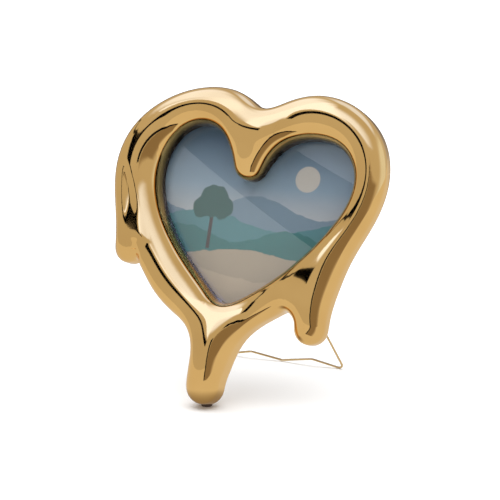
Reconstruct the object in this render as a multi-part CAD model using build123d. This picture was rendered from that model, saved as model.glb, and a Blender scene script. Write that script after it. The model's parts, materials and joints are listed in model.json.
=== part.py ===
from build123d import *
import math
import os

# Heart-shaped photo frame for a table, with drips running off its edge and a folding wire stand.
# Millimetres. Each piece is drawn upright first: X to the right, Y to the back, Z up the frame, with
# Y = 0 halfway through the frame's depth and X = 0 on the axis of the lowest drip. The assembly then
# leans back about X and stands on a pad under that drip. The origin is the middle of the pad's lower face.

# Frame body
FRAME_DEPTH = 26.0
LEAN_DEGREES = 20.0
FRONT_ROUND = 9.3
BACK_ROUND = 8.3
RIM_ROUND = 8.0
NOTCH_ROUND = 1.5
ROUND_LIMIT = 0.94  # most that a rounded edge may take of the slimmest drip's radius

# Drips: the centre (X, Z) and the radius of each round tip
LEFT_DRIP_CENTRE = (-73.0, 90.0)
LEFT_DRIP_RADIUS = 10.0
LEFT_NOTCH_DEGREES = -36.0  # where the edge leaves the left drip's tip
LOW_DRIP_CENTRE = (0.0, 1.5)
LOW_DRIP_RADIUS = 12.0
RIGHT_DRIP_CENTRE = (70.0, 48.5)
RIGHT_DRIP_RADIUS = 10.8
CLEFT_DRIP_CENTRE = (9.7, 156.7)
CLEFT_DRIP_RADIUS = 11.7
CLEFT_TIP_DEGREES = (195.0, 232.5, 270.0, 307.5, 345.0)

# Valley between the left drip and the ring, from its foot (X, Z), where it is deepest, to its head
VALLEY_FOOT = (-63.0, 85.0)
VALLEY_HEAD = (-80.0, 134.0)
VALLEY_DEPTH = 6.0
VALLEY_RADIUS = 6.0

# Points (X, Z) on the outer edge between the drips: over the top, then down to the lowest drip on each side
UPPER_EDGE = [
    (-86, 113), (-91, 146), (-85, 172), (-66, 195), (-29, 209.5), (2, 203), (16, 195.5), (32, 200.5),
    (56, 206), (84, 198), (103, 178), (109, 152), (103, 124), (90, 95), (84, 74),
]
LEFT_EDGE = [(-46, 60.5), (-31, 49), (-18.5, 40), (-13, 31)]
LEFT_EDGE_START = (0.62, -0.79)
RIGHT_EDGE = [(14.5, 15), (17.5, 25.5), (23.2, 36.8), (33.5, 47), (46, 55.4), (52.5, 58), (57.2, 54.6)]

# Points (X, Z) on the window's edge after the drip in its cleft: down the right side, then up the left
WINDOW_EDGE = [
    (25.5, 161.5), (36, 171.5), (56, 176), (75, 170.5), (86, 155), (85.5, 137), (75, 116), (52, 89), (22, 66),
    (5.5, 59.5), (-9, 69), (-36, 97), (-53, 125), (-57.8, 148), (-51, 170.5), (-40, 180.3), (-27, 182.6),
    (-14, 177), (-5.5, 165),
]

# Panels held in the back: their outline is drawn tight round three circles
LEFT_LOBE_CENTRE = (-24.0, 148.0)
LEFT_LOBE_RADIUS = 41.0
RIGHT_LOBE_CENTRE = (54.0, 144.0)
RIGHT_LOBE_RADIUS = 38.0
POINT_CENTRE = (5.0, 76.0)
POINT_RADIUS = 22.0
PANEL_CLEARANCE = 0.4
GLASS_THICKNESS = 2.0
PRINT_THICKNESS = 0.3
CARD_THICKNESS = 1.5
BOARD_THICKNESS = 3.0

# Foot pad
PAD_DIAMETER = 7.5
PAD_HEIGHT = 2.2
PAD_PROUD = 0.8
PAD_EASE = 0.3

# Wire stand
WIRE_DIAMETER = 1.6
STAND_X = 3.0
STAND_HINGE_Z = 128.0
STAND_LENGTH = 143.0
STAND_TOP_HALF = 11.0
STAND_FOOT_HALF = 50.0
STAND_END_LENGTH = 6.0
FOOT_BAR_RISE = 6.5
FOOT_BAR_DIP = 1.5
WIRE_BEND = 3.0
FOOT_BAR_BEND = 7.0

# Stand bracket and its rivets
BRACKET_THICKNESS = 1.2
BRACKET_HEIGHT = 26.0
BRACKET_CORNER = 2.5
HINGE_STANDOFF = 4.5
EAR_RADIUS = 3.2
EAR_FOOT = 10.0
EAR_CLEARANCE = 0.3
PIVOT_CLEARANCE = 0.05
STOP_START = 5.0
STOP_LENGTH = 4.0
STOP_GAP = 0.1
RIVET_DIAMETER = 3.0
RIVET_HEAD = 5.6
RIVET_HEAD_HEIGHT = 1.2
RIVET_HEAD_ROUND = 0.7
RIVET_SPACING = 18.0
SHANK_CLEARANCE = 0.05

# Turn buttons: the panel circle that each one sits beside, and its angle round that circle
BUTTON_PLACES = [
    ("left", 165.0), ("left", 100.0), ("right", 82.0), ("right", 15.0), ("point", 300.0), ("point", 230.0),
]
BUTTON_LENGTH = 15.0
BUTTON_WIDTH = 6.6
BUTTON_THICKNESS = 1.0
BUTTON_OFFSET = 4.3
BUTTON_GAP = 0.1
SCREW_DIAMETER = 2.5
SCREW_LENGTH = 8.0
SCREW_HEAD = 5.0
SCREW_HEAD_HEIGHT = 1.5
SCREW_HEAD_ROUND = 0.7
SCREW_SLOT_WIDTH = 0.7
SCREW_SLOT_DEPTH = 0.7

PANEL_CIRCLES = {
    "left": (LEFT_LOBE_CENTRE, LEFT_LOBE_RADIUS),
    "right": (RIGHT_LOBE_CENTRE, RIGHT_LOBE_RADIUS),
    "point": (POINT_CENTRE, POINT_RADIUS),
}
front = -FRAME_DEPTH / 2
back = FRAME_DEPTH / 2
lean = math.radians(LEAN_DEGREES)
wire_radius = WIRE_DIAMETER / 2
slimmest_drip = min(LEFT_DRIP_RADIUS, LOW_DRIP_RADIUS, RIGHT_DRIP_RADIUS)
front_round = min(FRONT_ROUND, ROUND_LIMIT * slimmest_drip)
back_round = min(BACK_ROUND, ROUND_LIMIT * slimmest_drip)

# Depths of the panels, from the back board, which is flush with the back of the frame, forwards
board_front = back - BOARD_THICKNESS
card_front = board_front - CARD_THICKNESS
print_front = card_front - PRINT_THICKNESS
glass_front = print_front - GLASS_THICKNESS

# The pad stands under the lowest point of the low drip, on its rounded back edge
tip_y = back - back_round
tip_z = LOW_DRIP_CENTRE[1] - LOW_DRIP_RADIUS + back_round
pad_y = tip_y * math.cos(lean) + tip_z * math.sin(lean)
rise = back_round + PAD_PROUD + tip_y * math.sin(lean) - tip_z * math.cos(lean)
stood_up = Pos(-LOW_DRIP_CENTRE[0], -pad_y, rise) * Rot(-LEAN_DEGREES, 0, 0)

# The wire's ends turn in through the bracket's ears, which stand clear of the bends
splay = math.atan2(STAND_FOOT_HALF - STAND_TOP_HALF, STAND_LENGTH)
bend_length = WIRE_BEND * math.tan((math.pi / 2 - splay) / 2)
ear_outer = STAND_TOP_HALF - bend_length - EAR_CLEARANCE
ear_inner = ear_outer - BRACKET_THICKNESS
pivot_y = back + HINGE_STANDOFF
plate_back = back + BRACKET_THICKNESS
button_front = back + BUTTON_GAP
button_back = button_front + BUTTON_THICKNESS
screw_seat = button_back + BUTTON_GAP


def on_circle(centre, radius, degrees):
    turn = math.radians(degrees)
    return (centre[0] + radius * math.cos(turn), centre[1] + radius * math.sin(turn))


def slab(sketch, y_front, y_back):
    """Stands a sketch of X and Z upright and gives it a thickness from y_front to y_back."""
    return extrude(Plane.XZ.offset(-y_back) * sketch, y_back - y_front)


def pin(x, z, radius, y_front, y_back):
    return slab(Pos(x, z) * Circle(radius), y_front, y_back)


def frame_outline():
    left_end = on_circle(LEFT_DRIP_CENTRE, LEFT_DRIP_RADIUS, 180)
    notch = on_circle(LEFT_DRIP_CENTRE, LEFT_DRIP_RADIUS, LEFT_NOTCH_DEGREES)
    low_left = on_circle(LOW_DRIP_CENTRE, LOW_DRIP_RADIUS, 180)
    low_right = on_circle(LOW_DRIP_CENTRE, LOW_DRIP_RADIUS, 0)
    right_left = on_circle(RIGHT_DRIP_CENTRE, RIGHT_DRIP_RADIUS, 180)
    right_end = on_circle(RIGHT_DRIP_CENTRE, RIGHT_DRIP_RADIUS, 0)
    up, down = (0, 1), (0, -1)
    return make_face([
        Spline(left_end, *UPPER_EDGE, right_end, tangents=[up, down]),
        CenterArc(RIGHT_DRIP_CENTRE, RIGHT_DRIP_RADIUS, 180, 180),
        Spline(low_right, *RIGHT_EDGE, right_left, tangents=[up, down]),
        CenterArc(LOW_DRIP_CENTRE, LOW_DRIP_RADIUS, 180, 180),
        Spline(notch, *LEFT_EDGE, low_left, tangents=[LEFT_EDGE_START, down]),
        CenterArc(LEFT_DRIP_CENTRE, LEFT_DRIP_RADIUS, 180, 180 + LEFT_NOTCH_DEGREES),
    ])


def window_outline():
    tip = [on_circle(CLEFT_DRIP_CENTRE, CLEFT_DRIP_RADIUS, angle) for angle in CLEFT_TIP_DEGREES]
    return make_face([Spline(*tip, *WINDOW_EDGE, periodic=True)])


def panel_outline(inset):
    circles = [Pos(*centre) * Circle(radius - inset) for centre, radius in PANEL_CIRCLES.values()]
    return make_hull([circle.edge() for circle in circles])


def panel(y_front, y_back):
    return slab(panel_outline(PANEL_CLEARANCE), y_front, y_back)


def left_valley():
    """Ball-ended bar that cuts the valley: it slants out of the front, so the cut runs out at its head."""
    foot = Vector(VALLEY_FOOT[0], front + VALLEY_DEPTH - VALLEY_RADIUS, VALLEY_FOOT[1])
    head = Vector(VALLEY_HEAD[0], front - VALLEY_RADIUS, VALLEY_HEAD[1])
    start = Plane(origin=foot, z_dir=head - foot)
    bar = extrude(start * Circle(VALLEY_RADIUS), (head - foot).length)
    return bar + Pos(foot) * Sphere(VALLEY_RADIUS)


def frame_body():
    """Rounded ring with a valley beside the left drip, a window, a rebate, screw holes and the pad's pocket."""
    notch = on_circle(LEFT_DRIP_CENTRE, LEFT_DRIP_RADIUS, LEFT_NOTCH_DEGREES)
    body = slab(frame_outline(), front, back)
    corner = body.edges().filter_by(Axis.Y).sort_by_distance((notch[0], 0, notch[1]))[0]
    body = fillet(corner, NOTCH_ROUND)
    body = fillet(body.faces().sort_by(Axis.Y)[0].edges(), front_round)
    body = fillet(body.faces().sort_by(Axis.Y)[-1].edges(), back_round)
    body -= slab(window_outline(), front, back)
    rim = body.faces().filter_by(Axis.Y).sort_by(Axis.Y)[0].inner_wires()[0]
    body = fillet(rim.edges(), RIM_ROUND)
    body -= left_valley()
    body -= slab(panel_outline(0), glass_front, back)
    for x, z, _ in button_places():
        body -= pin(x, z, SCREW_DIAMETER / 2 + SHANK_CLEARANCE, screw_seat - SCREW_LENGTH - BUTTON_GAP, back)
    return stood_up * body - pad_cylinder(PAD_DIAMETER / 2 + SHANK_CLEARANCE)


def pad_cylinder(radius):
    return Pos(0, 0, PAD_HEIGHT / 2) * Cylinder(radius, PAD_HEIGHT)


def foot_pad():
    pad = pad_cylinder(PAD_DIAMETER / 2)
    return chamfer(pad.faces().sort_by(Axis.Z)[0].edges(), PAD_EASE)


def back_board():
    board = panel(board_front, back)
    for x, z in rivet_places():
        board -= pin(x, z, RIVET_DIAMETER / 2 + SHANK_CLEARANCE, board_front, back)
    return board


def rivet_places():
    return [(STAND_X, STAND_HINGE_Z + side * RIVET_SPACING / 2) for side in (-1, 1)]


def bracket_rivets():
    rivets = []
    for x, z in rivet_places():
        head = pin(x, z, RIVET_HEAD / 2, plate_back, plate_back + RIVET_HEAD_HEIGHT)
        head = fillet(head.faces().sort_by(Axis.Y)[-1].edges(), RIVET_HEAD_ROUND)
        rivets.append(head + pin(x, z, RIVET_DIAMETER / 2, board_front, plate_back))
    return rivets


def flat_stand():
    """Wire in its own plane, hanging from pivots at Z = 0: two legs and a bent bar between their feet."""
    half = [
        (STAND_TOP_HALF - STAND_END_LENGTH, 0), (STAND_TOP_HALF, 0), (STAND_FOOT_HALF, -STAND_LENGTH),
        (STAND_FOOT_HALF / 2, FOOT_BAR_RISE - STAND_LENGTH),
    ]
    points = half + [(0, FOOT_BAR_DIP - STAND_LENGTH)] + [(-x, z) for x, z in reversed(half)]
    bends = [WIRE_BEND, WIRE_BEND, FOOT_BAR_BEND]
    path = Plane.XZ * FilletPolyline(*points, radius=bends + [FOOT_BAR_BEND] + bends[::-1])
    section = Plane(origin=path @ 0, z_dir=path % 0) * Circle(wire_radius)
    return sweep(section, path=path)


def open_angle(stand):
    """Degrees from the frame's back at which the wire's feet meet the table."""
    reach = -stand.bounding_box().min.Z - wire_radius
    hinge_height = (stood_up * Pos(STAND_X, pivot_y, STAND_HINGE_Z)).position.Z
    return math.degrees(math.acos((hinge_height - wire_radius) / reach)) + LEAN_DEGREES


def at_hinge(shape, degrees):
    return Pos(STAND_X, pivot_y, STAND_HINGE_Z) * Rot(degrees, 0, 0) * shape


def stand_bracket(degrees):
    """Riveted plate with an ear at each side for the wire's ends and a tab on each that stops the open leg."""
    outline = Pos(STAND_X, STAND_HINGE_Z) * RectangleRounded(2 * ear_outer, BRACKET_HEIGHT, BRACKET_CORNER)
    bracket = slab(outline, back, plate_back)
    for x, z in rivet_places():
        bracket -= pin(x, z, RIVET_DIAMETER / 2 + SHANK_CLEARANCE, back, plate_back)
    stop_y = wire_radius + STOP_GAP + BRACKET_THICKNESS / 2
    stop_z = -STOP_START - STOP_LENGTH / 2
    stop_outer = STAND_TOP_HALF - stop_z * math.tan(splay) + 2 * wire_radius
    foot = Pos(BRACKET_THICKNESS / 2 - HINGE_STANDOFF, 0) * Rectangle(BRACKET_THICKNESS, EAR_FOOT)
    stop = Rot(0, 0, degrees) * Pos(stop_y, stop_z) * Rectangle(BRACKET_THICKNESS, STOP_LENGTH)
    pivot = Circle(EAR_RADIUS)
    ear = make_hull(foot.edges() + stop.edges() + pivot.edges()) - Circle(wire_radius + PIVOT_CLEARANCE)
    for side in (-1, 1):
        ear_side = Plane.YZ.offset(side * (ear_inner + ear_outer) / 2)
        stop_side = Plane.YZ.offset(side * (ear_inner + stop_outer) / 2)
        bracket += at_hinge(extrude(ear_side * ear, BRACKET_THICKNESS / 2, both=True), 0)
        bracket += at_hinge(extrude(stop_side * stop, (stop_outer - ear_inner) / 2, both=True), 0)
    return bracket


def button_places():
    """Pivot (X, Z) of each turn button, and the angle that points it at the panels."""
    places = []
    for circle, degrees in BUTTON_PLACES:
        centre, radius = PANEL_CIRCLES[circle]
        places.append((*on_circle(centre, radius + BUTTON_OFFSET, degrees), degrees + 180))
    return places


def turn_button(x, z, degrees):
    reach = BUTTON_LENGTH - BUTTON_WIDTH
    outline = Pos(reach / 2, 0) * SlotCenterToCenter(reach, BUTTON_WIDTH)
    outline -= Circle(SCREW_DIAMETER / 2 + PIVOT_CLEARANCE)
    return slab(Pos(x, z) * Rot(0, 0, degrees) * outline, button_front, button_back)


def button_screws():
    screws = []
    top = screw_seat + SCREW_HEAD_HEIGHT
    for x, z, degrees in button_places():
        head = pin(x, z, SCREW_HEAD / 2, screw_seat, top)
        head = fillet(head.faces().sort_by(Axis.Y)[-1].edges(), SCREW_HEAD_ROUND)
        slot = Pos(x, z) * Rot(0, 0, degrees) * Rectangle(2 * SCREW_HEAD, SCREW_SLOT_WIDTH)
        head -= slab(slot, top - SCREW_SLOT_DEPTH, top)
        screws.append(head + pin(x, z, SCREW_DIAMETER / 2, screw_seat - SCREW_LENGTH, screw_seat))
    return screws


def main():
    stand = flat_stand()
    degrees = open_angle(stand)
    pieces = {
        "glazing": panel(glass_front, print_front),
        "photo_print": panel(print_front, card_front),
        "filler_card": panel(card_front, board_front),
        "back_board": back_board(),
        "stand_bracket": stand_bracket(degrees),
        "wire_stand": at_hinge(stand, degrees),
    }
    for number, place in enumerate(button_places(), 1):
        pieces[f"turn_button_{number}"] = turn_button(*place)
    pieces["bracket_rivets"] = Compound(children=bracket_rivets())
    pieces["button_screws"] = Compound(children=button_screws())
    placed = {name: stood_up * piece for name, piece in pieces.items()}
    placed["frame_body"] = frame_body()
    placed["foot_pad"] = foot_pad()
    os.makedirs("parts", exist_ok=True)
    for name, piece in placed.items():
        export_step(piece, f"parts/{name}.step")
    hinge = (stood_up * Pos(STAND_X, pivot_y, STAND_HINGE_Z)).position
    print("stand hinge", hinge, "opens", degrees)
    for x, z, _ in button_places():
        print("button pivot", (stood_up * Pos(x, button_front, z)).position)


main()
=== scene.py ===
import json
import math

import bmesh
import bpy
import numpy as np
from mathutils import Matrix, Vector
from mathutils.geometry import delaunay_2d_cdt


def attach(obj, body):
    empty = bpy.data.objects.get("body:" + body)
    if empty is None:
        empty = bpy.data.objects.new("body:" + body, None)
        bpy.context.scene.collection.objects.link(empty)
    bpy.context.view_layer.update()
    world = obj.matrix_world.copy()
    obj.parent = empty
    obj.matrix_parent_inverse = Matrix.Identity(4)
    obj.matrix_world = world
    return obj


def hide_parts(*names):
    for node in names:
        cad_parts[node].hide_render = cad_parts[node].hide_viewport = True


# Looks of a gold heart-shaped photo frame, in metres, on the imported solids.
# Frame coordinates: x to the right, w up the leaning face, f forwards from the flat back.

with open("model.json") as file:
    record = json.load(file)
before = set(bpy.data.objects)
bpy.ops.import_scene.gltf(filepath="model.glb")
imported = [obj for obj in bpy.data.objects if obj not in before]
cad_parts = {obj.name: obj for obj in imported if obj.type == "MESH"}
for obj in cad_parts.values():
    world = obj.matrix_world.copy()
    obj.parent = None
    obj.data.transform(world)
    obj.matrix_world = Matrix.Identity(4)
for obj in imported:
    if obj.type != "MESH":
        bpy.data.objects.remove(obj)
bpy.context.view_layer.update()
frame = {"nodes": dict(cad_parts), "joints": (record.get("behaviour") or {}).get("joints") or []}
MM = 0.001

# A turn button's axis is the back's normal, and the stand hinge gives the height
joints = {joint["name"]: joint for joint in frame["joints"]}
back_normal = Vector(joints["button_1_turn"]["axis"]).normalized()
face_up = Vector((0, -back_normal.z, back_normal.y))
HINGE_HEIGHT = 128 * MM  # the stand hinge's w
hinge_point = Vector(joints["stand_hinge"]["pos_m"])


def node_points(node):
    """World points of a node's mesh."""
    mesh = frame["nodes"][node].data
    points = np.empty(len(mesh.vertices) * 3)
    mesh.vertices.foreach_get("co", points)
    return points.reshape(-1, 3)


back_plane = (node_points("back_board") @ np.array(back_normal)).max()
w_shift = HINGE_HEIGHT - hinge_point.dot(face_up)


def to_frame(points):
    """World points to (x, w, f)."""
    points = np.asarray(points)
    return np.stack([
        points[:, 0], points @ np.array(face_up) + w_shift, back_plane - points @ np.array(back_normal),
    ], axis=1)


def to_world(x, w, f):
    """Arrays of x, w and f to world points."""
    across = np.outer(x, (1, 0, 0))
    return across + np.outer(w - w_shift, face_up) + np.outer(back_plane - f, back_normal)


# Depths of the frame body, forwards from its back
body_points = to_frame(node_points("frame_body"))
FRAME_DEPTH = body_points[:, 2].max()
FRONT_SWELL = 13.0 * MM  # height of the swelling front over its edges
SWELL_LIMIT = 15.0 * MM  # half width of a strand above which the front flattens
SWELL_POWER = 4
SLANT_CENTRE = (5 * MM, 130 * MM)
# Angle round the window in degrees from the right, and how much lower the front is at the window there
SLANTS = [
    (0, -1 * MM), (47, 4.5 * MM), (78, 2 * MM), (119, -3 * MM), (155, 12 * MM), (191, 3 * MM), (234, 5 * MM),
    (270, 2.5 * MM), (318, -1 * MM),
]
SLANT_SMOOTH = 14  # degrees
SLANT_LEVEL = 0.55  # share of the slant that raises the outer edge
BACK_ROUND = 8.3 * MM  # height of the back's rounding
BACK_SPREAD = 3.6 * MM  # over which it goes over into the flat back
WALL_CUT = FRAME_DEPTH / 2 + 1 * MM  # where the outlines are taken
glass_depths = to_frame(node_points("glazing"))[:, 2]
glass_front = glass_depths.max()
PRINT_GAP = 0.1 * MM
GLASS_THICKNESS = glass_depths.max() - glass_depths.min() - PRINT_GAP
GLASS_STEP = 3.0 * MM
REBATE_CUT = glass_front / 2  # where the rebate's outline is taken
LEDGE_LEAST = 0.5 * MM  # width that the ledge between window and rebate keeps

# Mesh density
LOOP_STEP = 1.1 * MM
LOOP_LEAST = 12  # points
FINE_STEP = 0.2 * MM
LOOP_SMOOTH = 0.8 * MM
FILL_STEP = 1.5 * MM
FILL_ROOM = 0.7 * FILL_STEP  # that the points of the fill keep from the rows
LEAST_AREA = 0.5e-3 * MM ** 2  # under which a triangle is a stray one
SHARP_ANGLE = math.radians(40)
BAND_ROWS = 8  # along the front's edges
BACK_ROWS = 7  # along the back's outer edge
BAND_DEPTH = 6.4 * MM  # from an edge to the innermost of the front's rows
RECESS_SHADE_ROWS = 4  # rows along the window over which painted shade darkens the gold towards the glass

# Limits of the geometry tools and of the solver
WELD_LIMIT = 1e-6
CUT_LIMIT = 1e-7
FILL_LIMIT = 1e-5
NEAREST_PART = 100  # points of an outline that are compared at a time
AREA_FLOOR = 1e-14
SOLVER_GOAL = 1e-12
SOLVER_STEPS = 3000
EXPONENT_LIMIT = 50

# Terrace on top of the left drip: flat in a triangle of (x, w) corners, anticlockwise
TERRACE_CORNERS = np.array([(-74.5, 128), (-72, 102), (-60.5, 99.5)]) * MM
TERRACE_SLOPE = (0.0, -0.085)  # its rise along x and w
TERRACE_RISE = 0.9 * MM  # over the front at the last corner
TERRACE_EDGE = 6.0 * MM  # over which it goes over into the front
TERRACE_ROUND = 2.0 * MM  # of its corners

# Valley between the left drip and the ring: deepest at its foot (x, w) in the notch, run out at its head
VALLEY_FOOT = np.array((-63, 84)) * MM
VALLEY_HEAD = np.array((-65.5, 97)) * MM
VALLEY_DEPTH = 3.5 * MM
VALLEY_WIDTH = 3.0 * MM

# Bulges on the front of the lowest drip and over the cleft: top (x, w), height and half widths in mm
BULGES = [((2, 20), 4.0, (15, 24)), ((14, 178), 2.0, (22, 11))]


def section_loops(node, depth):
    """Closed outlines (x, w) of a node cut parallel to the back, the longest first."""
    bm = bmesh.new()
    bm.from_mesh(frame["nodes"][node].data)
    bmesh.ops.remove_doubles(bm, verts=bm.verts[:], dist=WELD_LIMIT)
    middle = Vector(to_world(np.array([0]), np.array([0]), np.array([depth]))[0])
    geometry = bm.verts[:] + bm.edges[:] + bm.faces[:]
    cut = bmesh.ops.bisect_plane(bm, geom=geometry, dist=CUT_LIMIT, plane_co=middle, plane_no=back_normal)
    edges = [item for item in cut["geom_cut"] if isinstance(item, bmesh.types.BMEdge)]
    links = {}
    for edge in edges:
        a, b = edge.verts
        links.setdefault(a, []).append(b)
        links.setdefault(b, []).append(a)
    loops = []
    seen = set()
    for start in links:
        if start in seen:
            continue
        loop = [start]
        seen.add(start)
        while True:
            ahead = [v for v in links[loop[-1]] if v not in seen]
            if not ahead:
                break
            loop.append(ahead[0])
            seen.add(ahead[0])
        loops.append(to_frame([v.co[:] for v in loop])[:, :2])
    bm.free()
    return sorted(loops, key=loop_length, reverse=True)


def loop_length(loop):
    return np.linalg.norm(np.roll(loop, -1, axis=0) - loop, axis=1).sum()


def resample(loop, step):
    """Evenly spaced points round a closed outline, anticlockwise."""
    ahead = np.roll(loop, -1, axis=0)
    area = (loop[:, 0] * ahead[:, 1] - ahead[:, 0] * loop[:, 1]).sum()
    if area < 0:
        loop = loop[::-1]
    closed = np.vstack([loop, loop[:1]])
    along = np.concatenate([[0], np.cumsum(np.linalg.norm(np.diff(closed, axis=0), axis=1))])
    count = max(LOOP_LEAST, int(round(along[-1] / step)))
    places = np.arange(count) * along[-1] / count
    return np.stack([np.interp(places, along, closed[:, axis]) for axis in (0, 1)], axis=1)


def smooth_loop(loop):
    """Outline with the facets of the solid's mesh smoothed away, at the mesh's own spacing."""
    fine = resample(loop, FINE_STEP)
    waves = np.fft.fftfreq(len(fine), FINE_STEP)
    keep = np.exp(-2 * (math.pi * LOOP_SMOOTH * waves) ** 2)
    fine = np.fft.ifft(np.fft.fft(fine, axis=0) * keep[:, None], axis=0).real
    return resample(fine, LOOP_STEP)


def inside(points, loop):
    """Which points lie in a closed outline."""
    result = np.zeros(len(points), bool)
    ahead = np.roll(loop, -1, axis=0)
    for (x0, w0), (x1, w1) in zip(loop, ahead):
        crosses = (w0 > points[:, 1]) != (w1 > points[:, 1])
        if w1 != w0:
            result ^= crosses & (points[:, 0] < x0 + (points[:, 1] - w0) * (x1 - x0) / (w1 - w0))
    return result


def nearest(points, loop):
    """Distance from each point to the closest point of an outline."""
    best = np.full(len(points), np.inf)
    for part in np.array_split(loop, max(1, len(loop) // NEAREST_PART)):
        gaps = np.linalg.norm(points[:, None] - part[None], axis=2).min(axis=1)
        best = np.minimum(best, gaps)
    return best


def kept_clear(loop, hole, least):
    """Outline pushed outwards where it comes too close to the hole in it."""
    gap = nearest(loop, resample(hole, FINE_STEP))
    gap = np.where(inside(loop, hole), -gap, gap)
    tangent = np.roll(loop, -1, axis=0) - np.roll(loop, 1, axis=0)
    outwards = np.stack([tangent[:, 1], -tangent[:, 0]], axis=1)
    outwards /= np.linalg.norm(outwards, axis=1)[:, None]
    return loop + outwards * np.maximum(least - gap, 0)[:, None]


class Patch:
    """Flat triangle mesh between an outer outline and a hole, with close rows of points along both."""

    def __init__(self, outer, hole, outer_rows, hole_rows):
        self.points = np.empty((0, 2))
        self.faces = []
        self.outer = self.band(outer, 1, outer_rows)
        self.hole = self.band(hole, -1, hole_rows)
        self.fill()

    def band(self, loop, side, rows):
        """Adds rows of quads inwards from an outline and returns the indices of each row."""
        tangent = np.roll(loop, -1, axis=0) - np.roll(loop, 1, axis=0)
        normal = np.stack([-tangent[:, 1], tangent[:, 0]], axis=1) * side
        normal /= np.linalg.norm(normal, axis=1)[:, None]
        count = len(loop)
        indices = []
        for row in range(rows + 1):
            depth = BAND_DEPTH * (row / BAND_ROWS) ** 2
            indices.append(len(self.points) + np.arange(count))
            self.points = np.vstack([self.points, loop + normal * depth])
        for near, far in zip(indices, indices[1:]):
            for i in range(count):
                j = (i + 1) % count
                quad = [near[i], near[j], far[j], far[i]]
                self.faces.append(quad if side > 0 else quad[::-1])
        return indices

    def fill(self):
        """Triangles between the innermost rows."""
        rims = [self.outer[-1], self.hole[-1]]
        outer, hole = (self.points[rim] for rim in rims)
        low, high = outer.min(axis=0), outer.max(axis=0)
        row_step = FILL_STEP * math.sqrt(3) / 2
        rows = int((high[1] - low[1]) / row_step) + 1
        columns = int((high[0] - low[0]) / FILL_STEP) + 1
        column, row = np.meshgrid(np.arange(columns), np.arange(rows))
        grid = np.stack([
            low[0] + (column + 0.5 * (row % 2)) * FILL_STEP, low[1] + row * row_step,
        ], axis=-1).reshape(-1, 2)
        grid = grid[inside(grid, outer) & ~inside(grid, hole)]
        room = np.minimum(nearest(grid, outer), nearest(grid, hole))
        grid = grid[room > FILL_ROOM]
        names = np.concatenate([*rims, len(self.points) + np.arange(len(grid))])
        self.points = np.vstack([self.points, grid])
        edges = []
        start = 0
        for rim in rims:
            count = len(rim)
            edges += [(start + i, start + (i + 1) % count) for i in range(count)]
            start += count
        flat = [Vector(point) for point in self.points[names] / MM]
        _, _, triangles, sources, _, _ = delaunay_2d_cdt(flat, edges, [], 0, FILL_LIMIT)
        triangles = np.array([[sources[v][0] for v in triangle] for triangle in triangles])
        triangles = names[triangles]
        corners = self.points[triangles]
        (first_x, first_y), (second_x, second_y) = (corners[:, k].T - corners[:, 0].T for k in (1, 2))
        area = np.abs(first_x * second_y - first_y * second_x) / 2
        middles = corners.mean(axis=1)
        kept = inside(middles, outer) & ~inside(middles, hole) & (area > LEAST_AREA)
        self.faces += triangles[kept].tolist()

    def triangles(self):
        """Corners of the faces, with each quad cut in two."""
        found = []
        for face in self.faces:
            found += [face] if len(face) == 3 else [[face[0], face[1], face[2]], [face[0], face[2], face[3]]]
        return np.array(found)

    def solve(self, fixed, value, load, pull):
        """Smooth field over the mesh, with a value on the fixed points, an even load and a pull to 0."""
        triangles = self.triangles()
        count = len(self.points)
        starts, ends, weights = [], [], []
        mass = np.zeros(count)
        corners = self.points[triangles]
        sides = corners[:, [1, 2, 0]] - corners
        area = 0.5 * np.abs(sides[:, 0, 0] * -sides[:, 2, 1] + sides[:, 0, 1] * sides[:, 2, 0])
        area = np.maximum(area, AREA_FLOOR)
        for k in range(3):
            to_next = corners[:, (k + 1) % 3] - corners[:, k]
            to_last = corners[:, (k + 2) % 3] - corners[:, k]
            cotangent = (to_next * to_last).sum(axis=1) / (2 * area)
            starts.append(triangles[:, (k + 1) % 3])
            ends.append(triangles[:, (k + 2) % 3])
            weights.append(cotangent / 2)
            mass += np.bincount(triangles[:, k], area / 3, count)
        start, end, weight = (np.concatenate(part) for part in (starts, ends, weights))
        pull = mass * pull
        diagonal = np.bincount(start, weight, count) + np.bincount(end, weight, count) + pull

        def apply(field):
            flow = weight * (field[start] - field[end])
            return np.bincount(start, flow, count) - np.bincount(end, flow, count) + pull * field

        free = np.ones(count, bool)
        free[fixed] = False
        field = np.zeros(count)
        field[fixed] = value
        residual = (load * mass - apply(field)) * free
        direction = residual / diagonal
        energy = residual @ direction
        goal = energy * SOLVER_GOAL
        for _ in range(SOLVER_STEPS):
            pushed = apply(direction) * free
            step = energy / (direction @ pushed)
            field += step * direction
            residual -= step * pushed
            ready = residual / diagonal
            newer = residual @ ready
            if newer < goal:
                break
            direction = ready + direction * newer / energy
            energy = newer
        return field

    def fade(self, fixed, reach):
        """1 on the fixed points, fading smoothly to 0 over a distance of about reach."""
        return np.clip(self.solve(fixed, 1, 0, 1 / reach ** 2), 0, 1)

    def across(self):
        """0 on the outer outline, rising smoothly to 1 on the hole's."""
        edges = np.concatenate([self.outer[0], self.hole[0]])
        return self.solve(edges, np.repeat([0, 1], [len(self.outer[0]), len(self.hole[0])]), 0, 0)

    def swell(self):
        """Height of a skin blown up between the outlines: half a circle over a strand of even width."""
        edges = np.concatenate([self.outer[0], self.hole[0]])
        return np.sqrt(2 * np.maximum(self.solve(edges, 0, 1, 0), 0))


def rounded(fade):
    """Share of a rounding's height that is missing where its fade has this value."""
    return 1 - np.sqrt(1 - fade)


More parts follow.
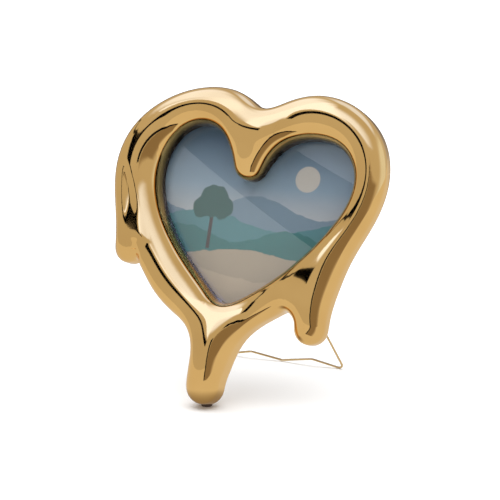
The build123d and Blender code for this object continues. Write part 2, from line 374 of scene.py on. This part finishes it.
def terrace(points, depth):
    """Front's depth with the flat terrace on top of the left drip worked into it."""
    crowding = np.zeros(len(points))
    for start, end in zip(TERRACE_CORNERS, np.roll(TERRACE_CORNERS, -1, axis=0)):
        along = (end - start) / np.linalg.norm(end - start)
        room = (points - start) @ (-along[1], along[0])
        crowding += np.exp(np.clip(-room / TERRACE_ROUND, -EXPONENT_LIMIT, EXPONENT_LIMIT))
    share = np.clip(1 - TERRACE_ROUND * np.log(crowding) / TERRACE_EDGE, 0, 1)
    from_corner = points - TERRACE_CORNERS[-1]
    corner_depth = depth[np.linalg.norm(from_corner, axis=1).argmin()]
    level = corner_depth + TERRACE_RISE + from_corner @ TERRACE_SLOPE
    return depth + share ** 2 * (3 - 2 * share) * (level - depth)


def valley(points):
    """Depth of the valley between the left drip and the ring."""
    line = VALLEY_HEAD - VALLEY_FOOT
    along = np.clip((points - VALLEY_FOOT) @ line / (line @ line), 0, 1)
    gap = np.linalg.norm(points - VALLEY_FOOT - along[:, None] * line, axis=1)
    return VALLEY_DEPTH * (1 - along) * np.exp(-(gap / VALLEY_WIDTH) ** 2)


def bulges(points):
    """Height that the bulges add to the front."""
    height = np.zeros(len(points))
    for top, rise, reach in BULGES:
        away = (points / MM - top) / reach
        height += rise * MM * np.exp(-(away ** 2).sum(axis=1))
    return height


def slant(points):
    """How much lower the front lies at the window than at the outer edge."""
    angles = np.arange(360)
    drops = np.interp(angles, *zip(*SLANTS), period=360)
    keep = np.exp(-2 * (math.pi * SLANT_SMOOTH * np.fft.rfftfreq(360)) ** 2)
    drops = np.fft.irfft(np.fft.rfft(drops) * keep, 360)
    away = points - SLANT_CENTRE
    return np.interp(np.degrees(np.arctan2(away[:, 1], away[:, 0])), angles, drops, period=360)


def new_object(name, points, faces, body, material, replaced):
    """Piece that rides on a body and shows in the place of nodes."""
    mesh = bpy.data.meshes.new(name)
    mesh.from_pydata([tuple(point) for point in points], [], faces)
    bm = bmesh.new()
    bm.from_mesh(mesh)
    bmesh.ops.recalc_face_normals(bm, faces=bm.faces[:])
    bm.to_mesh(mesh)
    bm.free()
    mesh.shade_smooth()
    mesh.set_sharp_from_angle(angle=SHARP_ANGLE)
    mesh.materials.append(material)
    piece = bpy.data.objects.new(name, mesh)
    bpy.context.scene.collection.objects.link(piece)
    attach(piece, body)
    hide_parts(*replaced)
    return piece


class Shell:
    """Collects patches and walls into one closed mesh in frame coordinates."""

    def __init__(self):
        self.points = []
        self.faces = []
        self.count = 0

    def add(self, flat, depth, faces):
        """Adds faces over points (x, w) at a depth and returns the first point's index."""
        depth = np.broadcast_to(depth, len(flat))
        self.points.append(to_world(flat[:, 0], flat[:, 1], depth))
        self.faces += [[self.count + int(v) for v in face] for face in faces]
        first = self.count
        self.count += len(flat)
        return first

    def wall(self, lower, upper):
        """Quads between two rows of as many points."""
        count = len(lower)
        for i in range(count):
            j = (i + 1) % count
            self.faces.append([int(lower[i]), int(lower[j]), int(upper[j]), int(upper[i])])


def frame_shell(material):
    """Gold ring with its drips: a swelling front, a flat back with a rebate, and walls between them.

    Its joint attribute is painted shade: 1 at the glass, fading to 0 over the front's rows along the window.
    """
    outer, window = (smooth_loop(loop) for loop in section_loops("frame_body", WALL_CUT)[:2])
    rebate = resample(section_loops("frame_body", REBATE_CUT)[1], LOOP_STEP)
    rebate = kept_clear(rebate, window, LEDGE_LEAST)
    front = Patch(outer, window, BAND_ROWS, BAND_ROWS)
    swell = front.swell() / SWELL_LIMIT
    swell = swell / (1 + swell ** SWELL_POWER) ** (1 / SWELL_POWER)
    depth = FRAME_DEPTH - FRONT_SWELL + FRONT_SWELL * swell / swell.max()
    depth = depth + slant(front.points) * (SLANT_LEVEL - front.across()) + bulges(front.points)
    depth = terrace(front.points, depth) - valley(front.points)
    shell = Shell()
    first = shell.add(front.points, depth, front.faces)
    outer_front = front.outer[0] + first
    window_front = front.hole[0] + first
    back = Patch(outer, rebate, BACK_ROWS, 0)
    back_fade = back.fade(back.outer[0], BACK_SPREAD)
    first = shell.add(back.points, BACK_ROUND * rounded(back_fade), back.faces)
    shell.wall(outer_front, back.outer[0] + first)
    rebate_back = back.hole[0] + first
    ledge = Patch(rebate, window, 0, 0)
    first = shell.add(ledge.points, glass_front, ledge.faces)
    shell.wall(rebate_back, ledge.outer[0] + first)
    shell.wall(window_front, ledge.hole[0] + first)
    points = np.vstack(shell.points)
    piece = new_object("frame_shell", points, shell.faces, "frame", material, ["frame_body"])
    # Painted shade in the joint attribute: 1 on the window's wall and the ledge, fading to 0 over the front's
    # rows along the window
    joint = np.zeros(len(points))
    joint[first:] = 1
    for row in range(RECESS_SHADE_ROWS):
        joint[front.hole[row]] = 1 - row / RECESS_SHADE_ROWS
    piece.data.attributes.new("joint", "FLOAT", "POINT").data.foreach_set("value", joint)
    return piece


def glass_sheet(material):
    """Glass, its back a hair off the print."""
    outline = resample(section_loops("glazing", glass_front - GLASS_THICKNESS / 2)[0], GLASS_STEP)
    count = len(outline)
    shell = Shell()
    lower = shell.add(outline, glass_front - GLASS_THICKNESS, [range(count)]) + np.arange(count)
    upper = shell.add(outline, glass_front, [range(count)]) + np.arange(count)
    shell.wall(lower, upper)
    points = np.vstack(shell.points)
    return new_object("glass_sheet", points, shell.faces, "frame", material, ["glazing"])


# Materials

DRIFT_RANGE = (0.3, 0.7)  # part of the noise over which a metal's colour drifts
SPECKLE_RANGE = (0.35, 0.65)  # and a dull surface's
SPECKLE_DETAIL = 6.0
ROUGH_SCALE = 3  # finer than the colour's drift
BUMP_SCALE = 8
GOLD_DARK = (0.80, 0.49, 0.17)
GOLD_LIGHT = (0.86, 0.54, 0.195)
# Painted shade: brown laid over the gold on the window's wall and towards the glass, where the recess lies in
# shade
RECESS_SHADE_BROWN = (0.10, 0.06, 0.035)
GLASS_TINT = (0.97, 1.0, 0.99, 1)
GLASS_MIRROR = 0.05  # share of the light that a face of the glass mirrors


def new_material(name):
    """Material, its node tree and its shader."""
    material = bpy.data.materials.new(name)
    material.use_nodes = True
    tree = material.node_tree
    return material, tree, tree.nodes["Principled BSDF"]


def math_node(tree, operation, first, second=None):
    """Result of a sum on sockets or numbers."""
    node = tree.nodes.new("ShaderNodeMath")
    node.operation = operation
    for socket, value in zip(node.inputs, (first, second)):
        if isinstance(value, bpy.types.NodeSocket):
            tree.links.new(value, socket)
        elif value is not None:
            socket.default_value = value
    return node.outputs[0]


def noise(tree, scale, detail=2.0):
    """Soft noise of 0 to 1 in the object's coordinates."""
    node = tree.nodes.new("ShaderNodeTexNoise")
    node.inputs["Scale"].default_value = scale
    node.inputs["Detail"].default_value = detail
    place = tree.nodes.new("ShaderNodeTexCoord").outputs["Object"]
    tree.links.new(place, node.inputs["Vector"])
    return node.outputs["Fac"]


def spread(tree, value, low, high):
    """Maps a value of 0 to 1 onto low to high."""
    node = tree.nodes.new("ShaderNodeMapRange")
    tree.links.new(value, node.inputs["Value"])
    node.inputs["To Min"].default_value = low
    node.inputs["To Max"].default_value = high
    return node.outputs["Result"]


def ramp(tree, value, stops):
    """Colour ramp over a value, from (place, colour) stops."""
    node = tree.nodes.new("ShaderNodeValToRGB")
    tree.links.new(value, node.inputs["Fac"])
    elements = node.color_ramp.elements
    while len(elements) < len(stops):
        elements.new(0.5)
    for element, (place, colour) in zip(elements, stops):
        element.position = place
        element.color = (*colour, 1)
    return node.outputs["Color"]


def bump(tree, shader, height, distance):
    """Fine relief from a height of 0 to 1."""
    node = tree.nodes.new("ShaderNodeBump")
    node.inputs["Distance"].default_value = distance
    tree.links.new(height, node.inputs["Height"])
    tree.links.new(node.outputs["Normal"], shader.inputs["Normal"])


def over(tree, below, colour, mask):
    """Lays a colour over another where a mask is 1."""
    node = tree.nodes.new("ShaderNodeMix")
    node.data_type = "RGBA"
    tree.links.new(mask, node.inputs["Factor"])
    sockets = [socket for socket in node.inputs if socket.type == "RGBA"]
    for socket, value in zip(sockets, (below, colour)):
        if isinstance(value, bpy.types.NodeSocket):
            tree.links.new(value, socket)
        else:
            socket.default_value = (*value, 1)
    return [socket for socket in node.outputs if socket.type == "RGBA"][0]


def metal(name, dark, light, rough, grain_scale, grain):
    """Metal whose colour and roughness drift a little over the surface."""
    material, tree, shader = new_material(name)
    shader.inputs["Metallic"].default_value = 1.0
    drift = noise(tree, grain_scale)
    colour = ramp(tree, drift, list(zip(DRIFT_RANGE, (dark, light))))
    tree.links.new(colour, shader.inputs["Base Color"])
    tree.links.new(spread(tree, noise(tree, grain_scale * ROUGH_SCALE), *rough), shader.inputs["Roughness"])
    bump(tree, shader, noise(tree, grain_scale * BUMP_SCALE), grain)
    return material


def matte(name, dark, light, rough, grain_scale, grain):
    """Dull surface with a fine grain."""
    material, tree, shader = new_material(name)
    speckle = noise(tree, grain_scale, SPECKLE_DETAIL)
    colour = ramp(tree, speckle, list(zip(SPECKLE_RANGE, (dark, light))))
    tree.links.new(colour, shader.inputs["Base Color"])
    tree.links.new(spread(tree, speckle, *rough), shader.inputs["Roughness"])
    bump(tree, shader, speckle, grain)
    return material


def gold_material():
    """Polished gold, with painted shade darkening it where the window's wall nears the glass."""
    material = metal("polished_gold", GOLD_DARK, GOLD_LIGHT, (0.03, 0.07), 30, 0.002 * MM)
    tree = material.node_tree
    base = tree.nodes["Principled BSDF"].inputs["Base Color"]
    # The joint attribute lays painted shade over the gold towards the glass
    joint = tree.nodes.new("ShaderNodeAttribute")
    joint.attribute_name = "joint"
    tree.links.new(over(tree, base.links[0].from_socket, RECESS_SHADE_BROWN, joint.outputs["Fac"]), base)
    return material


def glass_material():
    """Clear sheet: each face mirrors a little and lets the rest straight through."""
    material, tree, shader = new_material("window_glass")
    shader.inputs["Base Color"].default_value = GLASS_TINT
    shader.inputs["Metallic"].default_value = 1.0
    shader.inputs["Alpha"].default_value = GLASS_MIRROR
    tree.links.new(spread(tree, noise(tree, 60), 0.0, 0.012), shader.inputs["Roughness"])
    return material


# Picture behind the glass: hills under a pale sun, with a tree on a sandy field

SKY_LOW = 120 * MM
SKY_HIGH = 185 * MM
SKY_STOPS = [(0.0, (0.36, 0.37, 0.37)), (0.35, (0.19, 0.26, 0.31)), (1.0, (0.035, 0.075, 0.115))]
SUN_COLOUR = (0.422, 0.394, 0.34)
SUN_CENTRE = (50 * MM, 150 * MM)
SUN_RADIUS = 9 * MM
# From far to near: colour, middle height, swing, length of a wave and its start
RIDGES = [
    ((0.15, 0.211, 0.252), 129 * MM, 7 * MM, 95 * MM, 0.6),
    ((0.075, 0.19, 0.195), 118 * MM, 6 * MM, 120 * MM, 2.9),
    ((0.042, 0.145, 0.132), 108 * MM, 5 * MM, 80 * MM, 4.6),
    ((0.34, 0.28, 0.20), 94 * MM, 4 * MM, 140 * MM, 1.2),
    ((0.41, 0.33, 0.235), 80 * MM, 3 * MM, 110 * MM, 3.4),
]
RAGGED_SCALE = 120
RAGGED_HEIGHT = 5 * MM
RIDGE_SOFT = 0.4 * MM
TRUNK_COLOUR = (0.061, 0.041, 0.031)
TRUNK_X = -18 * MM
TRUNK_HALF = 1.3 * MM
TRUNK_SOFT = 0.3 * MM
TRUNK_FOOT = 97 * MM
TRUNK_TOP = 122 * MM
CROWN_COLOUR = (0.034, 0.088, 0.068)
CROWNS = [(-18, 131, 11), (-26, 126, 7.5), (-10, 126, 7.5)]  # x, w and radius in mm
CROWN_RAGGED = 1.6  # times as ragged as the ridges
DISC_SOFT = 0.5 * MM
CROWN_SOFT = 0.7 * MM


def below_line(tree, height, line, soft):
    """1 under a line, 0 above it, with a soft edge."""
    node = tree.nodes.new("ShaderNodeMapRange")
    node.interpolation_type = "SMOOTHSTEP"
    tree.links.new(math_node(tree, "SUBTRACT", height, line), node.inputs["Value"])
    node.inputs["From Min"].default_value = -soft
    node.inputs["From Max"].default_value = soft
    node.inputs["To Min"].default_value = 1
    node.inputs["To Max"].default_value = 0
    return node.outputs["Result"]


def wave(tree, across, middle, swing, length, start):
    """Height of a gently waving ridge."""
    turn = math_node(tree, "MULTIPLY_ADD", across, 2 * math.pi / length)
    turn.node.inputs[2].default_value = start
    return math_node(tree, "ADD", math_node(tree, "MULTIPLY", math_node(tree, "SINE", turn), swing), middle)


def disc(tree, across, height, centre, radius, soft):
    """1 in a disc, 0 outside it, with a soft edge."""
    dx = math_node(tree, "SUBTRACT", across, centre[0])
    dw = math_node(tree, "SUBTRACT", height, centre[1])
    squares = math_node(tree, "ADD", math_node(tree, "MULTIPLY", dx, dx), math_node(tree, "MULTIPLY", dw, dw))
    return below_line(tree, math_node(tree, "SQRT", squares), radius, soft)


def picture_material():
    """Print of a plain landscape, in frame coordinates."""
    material, tree, shader = new_material("picture_print")
    place = tree.nodes.new("ShaderNodeTexCoord").outputs["Object"]
    up = tree.nodes.new("ShaderNodeVectorMath")
    up.operation = "DOT_PRODUCT"
    tree.links.new(place, up.inputs[0])
    up.inputs[1].default_value = face_up
    height = math_node(tree, "ADD", up.outputs["Value"], w_shift)
    parts = tree.nodes.new("ShaderNodeSeparateXYZ")
    tree.links.new(place, parts.inputs[0])
    across = parts.outputs["X"]
    sky_share = tree.nodes.new("ShaderNodeMapRange")
    tree.links.new(height, sky_share.inputs["Value"])
    sky_share.inputs["From Min"].default_value = SKY_LOW
    sky_share.inputs["From Max"].default_value = SKY_HIGH
    colour = ramp(tree, sky_share.outputs["Result"], SKY_STOPS)
    colour = over(tree, colour, SUN_COLOUR, disc(tree, across, height, SUN_CENTRE, SUN_RADIUS, DISC_SOFT))
    ragged = math_node(tree, "SUBTRACT", noise(tree, RAGGED_SCALE, 5.0), 0.5)
    ragged = math_node(tree, "MULTIPLY", ragged, RAGGED_HEIGHT)
    for tone, middle, swing, length, start in RIDGES:
        line = math_node(tree, "ADD", wave(tree, across, middle, swing, length, start), ragged)
        colour = over(tree, colour, tone, below_line(tree, height, line, RIDGE_SOFT))
    beside = math_node(tree, "ABSOLUTE", math_node(tree, "ADD", across, -TRUNK_X))
    under_top = below_line(tree, height, TRUNK_TOP, RIDGE_SOFT)
    over_foot = below_line(tree, math_node(tree, "MULTIPLY", height, -1.0), -TRUNK_FOOT, RIDGE_SOFT)
    trunk = math_node(tree, "MULTIPLY", below_line(tree, beside, TRUNK_HALF, TRUNK_SOFT), under_top)
    trunk = math_node(tree, "MULTIPLY", trunk, over_foot)
    colour = over(tree, colour, TRUNK_COLOUR, trunk)
    leafy = math_node(tree, "ADD", height, math_node(tree, "MULTIPLY", ragged, CROWN_RAGGED))
    for x, w, radius in CROWNS:
        crown = disc(tree, across, leafy, (x * MM, w * MM), radius * MM, CROWN_SOFT)
        colour = over(tree, colour, CROWN_COLOUR, crown)
    tree.links.new(colour, shader.inputs["Base Color"])
    tree.links.new(spread(tree, noise(tree, 900), 0.35, 0.5), shader.inputs["Roughness"])
    return material


# Stage, light and camera

CAMERA_AZIMUTH = 25.0
CAMERA_HEIGHT_ANGLE = 11.5
CAMERA_DISTANCE = 0.95
CAMERA_CLIP = 0.01
FOCAL_PIXELS = 1400.0
IMAGE_SIDE = 500.0
SENSOR = 36.0
FOOT_PIXEL = (204.5, 407.0)  # where the point under the low drip shows in the photograph
FOOT_POINT = Vector((0, -3.66 * MM, 0))
FLOOR_HALF = 20.0
FLOOR_TONES = [(0.3, (0.90, 0.90, 0.90)), (0.7, (0.93, 0.93, 0.93))]
WORLD_STRENGTH = 0.62
LAMP_STRENGTH = 3.2
LAMP_ANGLE = math.radians(80)
TENT_CENTRE = Vector((5 * MM, 40 * MM, 120 * MM))
CARD_STEPS = 24
WHITE = (1, 1, 1)
COOL = (0.40, 0.52, 1.0)
PALE = (0.85, 1.0, 1.35)
BROWN = (1.0, 0.86, 0.72)
HARD = (0, 0, 0, 0)

# Cards round the object: name, (azimuth, elevation) corners, brightness, distance, tint and soft edges
CARDS = [
    ("left_softbox", [(-150, 46), (-30, 40), (-30, 88), (-150, 88)], 3.0, 1.7, COOL, (0.3, 0, 0.2, 0.5)),
    ("front_softbox", [(-48, 45), (-14, 30), (-14, 84), (-48, 84)], 3.4, 1.6, COOL, (0.3, 0.2, 0, 0.6)),
    ("right_softbox", [(-30, 33), (50, 40), (50, 62), (-30, 70)], 2.8, 1.65, COOL, (0.1, 0.8, 0.1, 0.6)),
    ("back_softbox", [(90, 40), (210, 40), (210, 88), (90, 88)], 2.4, 1.6, COOL, (0.2, 0.2, 0.3, 0.3)),
    ("right_fill", [(65, -2), (145, -2), (145, 50), (65, 50)], 1.0, 1.55, PALE, (0.4, 0.3, 0, 0.4)),
    ("gap_left", [(-120, 22), (-95, 33), (-95, 35.5), (-120, 24)], 0.0, 1.5, WHITE, (0.6, 0, 0.3, 0.3)),
    ("gap_middle", [(-95, 33.8), (-45, 33.8), (-45, 36), (-95, 35.5)], 0.0, 1.5, WHITE, (0, 0, 0.2, 0.2)),
    ("gap_front", [(-45, 33), (-15, 23), (-15, 29), (-45, 36)], 0.0, 1.5, WHITE, HARD),
    ("dark_edge", [(12, -4.9), (17, -4.9), (2, 29), (-2, 29)], 0.0, 1.4, WHITE, HARD),
    ("dark_side", [(17, -4.9), (70, -4.9), (70, 12), (2, 33)], 0.3, 1.4, BROWN, (0, 0.4, 0, 0.15)),
    ("dark_back", [(150, -6), (262, -6), (262, 34), (150, 34)], 0.2, 1.5, BROWN, (0.35, 0.35, 0, 0.35)),
]
# Cards on the floor: name, azimuths, distances, brightness, height, tint and soft edges
FLOOR_CARDS = [
    ("pale_floor", (-180, 180), (0.004, 28.0), 0.78, 0.6 * MM, WHITE, HARD),
    ("foot_shade", (-180, 180), (0.004, 0.05), 0.3, 0.8 * MM, BROWN, (0, 0, 0, 1)),
    ("dark_floor_edge", (12, 17), (0.13, 1.45), 0.0, 1 * MM, WHITE, HARD),
    ("dark_floor", (17, 60), (0.13, 1.45), 0.3, 1 * MM, BROWN, (0, 0.4, 0, 0)),
    ("dark_floor_back", (150, 262), (0.15, 1.45), 0.3, 1 * MM, BROWN, (0.3, 0.3, 0.3, 0)),
]


def direction(azimuth, elevation):
    """Unit vector from the object, azimuth 0 to the front and positive to the right, in degrees."""
    a, e = math.radians(azimuth), math.radians(elevation)
    return Vector((math.sin(a) * math.cos(e), -math.cos(a) * math.cos(e), math.sin(e)))


def add_camera():
    """Camera that shows the foot at its pixel."""
    data = bpy.data.cameras.new("camera")
    data.sensor_width = SENSOR
    data.lens = FOCAL_PIXELS * SENSOR / IMAGE_SIDE
    data.clip_start = CAMERA_CLIP
    camera = bpy.data.objects.new("camera", data)
    bpy.context.scene.collection.objects.link(camera)
    forward = -direction(CAMERA_AZIMUTH, CAMERA_HEIGHT_ANGLE)
    turn = forward.to_track_quat("-Z", "Y")
    right, up = turn @ Vector((1, 0, 0)), turn @ Vector((0, 1, 0))
    half = IMAGE_SIDE / 2
    across, down = FOOT_PIXEL
    ray = forward + right * (across - half) / FOCAL_PIXELS - up * (down - half) / FOCAL_PIXELS
    camera.location = FOOT_POINT - ray * CAMERA_DISTANCE
    camera.rotation_mode = "QUATERNION"
    camera.rotation_quaternion = turn
    bpy.context.scene.camera = camera


def add_floor():
    """Plain pale floor."""
    corners = [(x * FLOOR_HALF, y * FLOOR_HALF, 0) for x, y in ((-1, -1), (1, -1), (1, 1), (-1, 1))]
    mesh = bpy.data.meshes.new("floor")
    mesh.from_pydata(corners, [], [(0, 1, 2, 3)])
    floor = bpy.data.objects.new("floor", mesh)
    bpy.context.scene.collection.objects.link(floor)
    material, tree, shader = new_material("floor_paper")
    tree.links.new(ramp(tree, noise(tree, 3), FLOOR_TONES), shader.inputs["Base Color"])
    shader.inputs["Roughness"].default_value = 0.9
    shader.inputs["Specular IOR Level"].default_value = 0.1
    mesh.materials.append(material)


def reflected(name, grid, brightness, tint, soft):
    """Studio card through a square grid of points, seen only in reflections, with soft edges.

    soft gives the share of the card over which each edge fades: left, right, low and high.
    """
    side = CARD_STEPS + 1
    faces = []
    for row in range(CARD_STEPS):
        for column in range(CARD_STEPS):
            a = row * side + column
            faces.append((a, a + 1, a + side + 1, a + side))
    mesh = bpy.data.meshes.new(name)
    mesh.from_pydata(grid, [], faces)
    place = np.linspace(0, 1, side)
    gaps = (place, 1 - place, place, 1 - place)
    edges = [np.clip(gap / reach, 0, 1) if reach else np.ones(side) for gap, reach in zip(gaps, soft)]
    left, right, low, high = edges
    cover = np.outer(low * high, left * right).ravel()
    cover = cover * cover * (3 - 2 * cover)
    mesh.attributes.new("cover", "FLOAT", "POINT").data.foreach_set("value", cover)
    material = bpy.data.materials.new(name)
    material.use_nodes = True
    tree = material.node_tree
    tree.nodes.clear()
    output = tree.nodes.new("ShaderNodeOutputMaterial")
    glow = tree.nodes.new("ShaderNodeEmission")
    glow.inputs["Color"].default_value = (*tint, 1)
    glow.inputs["Strength"].default_value = brightness
    fade = tree.nodes.new("ShaderNodeAttribute")
    fade.attribute_name = "cover"
    mix = tree.nodes.new("ShaderNodeMixShader")
    tree.links.new(fade.outputs["Fac"], mix.inputs[0])
    tree.links.new(tree.nodes.new("ShaderNodeBsdfTransparent").outputs[0], mix.inputs[1])
    tree.links.new(glow.outputs[0], mix.inputs[2])
    tree.links.new(mix.outputs[0], output.inputs[0])
    mesh.materials.append(material)
    piece = bpy.data.objects.new(name, mesh)
    bpy.context.scene.collection.objects.link(piece)
    for way in ("visible_camera", "visible_diffuse", "visible_transmission", "visible_shadow"):
        setattr(piece, way, False)


def card(name, corners, brightness, distance, tint, soft):
    """Card on a sphere round the object, its corners anticlockwise from the lower left."""
    low_left, low_right, high_right, high_left = (np.array(corner) for corner in corners)
    grid = []
    for row in np.linspace(0, 1, CARD_STEPS + 1):
        for column in np.linspace(0, 1, CARD_STEPS + 1):
            low = low_left + (low_right - low_left) * column
            high = high_left + (high_right - high_left) * column
            grid.append(TENT_CENTRE + direction(*(low + (high - low) * row)) * distance)
    reflected(name, grid, brightness, tint, soft)


def floor_card(name, azimuth, reach, brightness, height, tint, soft):
    """Card that lies on the floor, from reach[0] to reach[1] away between two azimuths."""
    grid = []
    for far in np.linspace(*reach, CARD_STEPS + 1):
        for turn in np.linspace(*azimuth, CARD_STEPS + 1):
            grid.append(direction(turn, 0) * far + Vector((0, 0, height)))
    reflected(name, grid, brightness, tint, soft)


def add_light():
    """Even light from all round and above, and the cards that the gold mirrors."""
    world = bpy.data.worlds.new("studio")
    world.use_nodes = True
    background = world.node_tree.nodes["Background"]
    background.inputs["Color"].default_value = (1, 1, 1, 1)
    background.inputs["Strength"].default_value = WORLD_STRENGTH
    bpy.context.scene.world = world
    data = bpy.data.lights.new("overhead", "SUN")
    data.energy = LAMP_STRENGTH
    data.angle = LAMP_ANGLE
    lamp = bpy.data.objects.new("overhead", data)
    lamp.visible_glossy = False
    bpy.context.scene.collection.objects.link(lamp)
    for row in CARDS:
        card(*row)
    for row in FLOOR_CARDS:
        floor_card(*row)


# Pieces, stage and camera

frame_shell(gold_material())
glass_sheet(glass_material())
materials = {
    "foot_pad": matte("pad_rubber", (0.07, 0.042, 0.028), (0.10, 0.062, 0.042), (0.6, 0.8), 900, 0.05 * MM),
    "photo_print": picture_material(),
    "filler_card": matte("card", (0.38, 0.34, 0.28), (0.48, 0.44, 0.37), (0.8, 0.95), 700, 0.04 * MM),
    "back_board": matte("board", (0.012, 0.011, 0.010), (0.035, 0.032, 0.03), (0.6, 0.85), 500, 0.08 * MM),
    "wire_stand": metal("gold_wire", (0.68, 0.47, 0.22), (0.75, 0.54, 0.27), (0.14, 0.22), 120, 0.01 * MM),
}
fitting = metal("plated_steel", (0.62, 0.44, 0.20), (0.72, 0.52, 0.25), (0.24, 0.38), 200, 0.02 * MM)
for name, node in frame["nodes"].items():
    if name in ("frame_body", "glazing"):
        continue
    node.data.materials.clear()
    node.data.materials.append(materials.get(name, fitting))

add_camera()
add_floor()
add_light()
bpy.context.scene.view_settings.view_transform = "Standard"
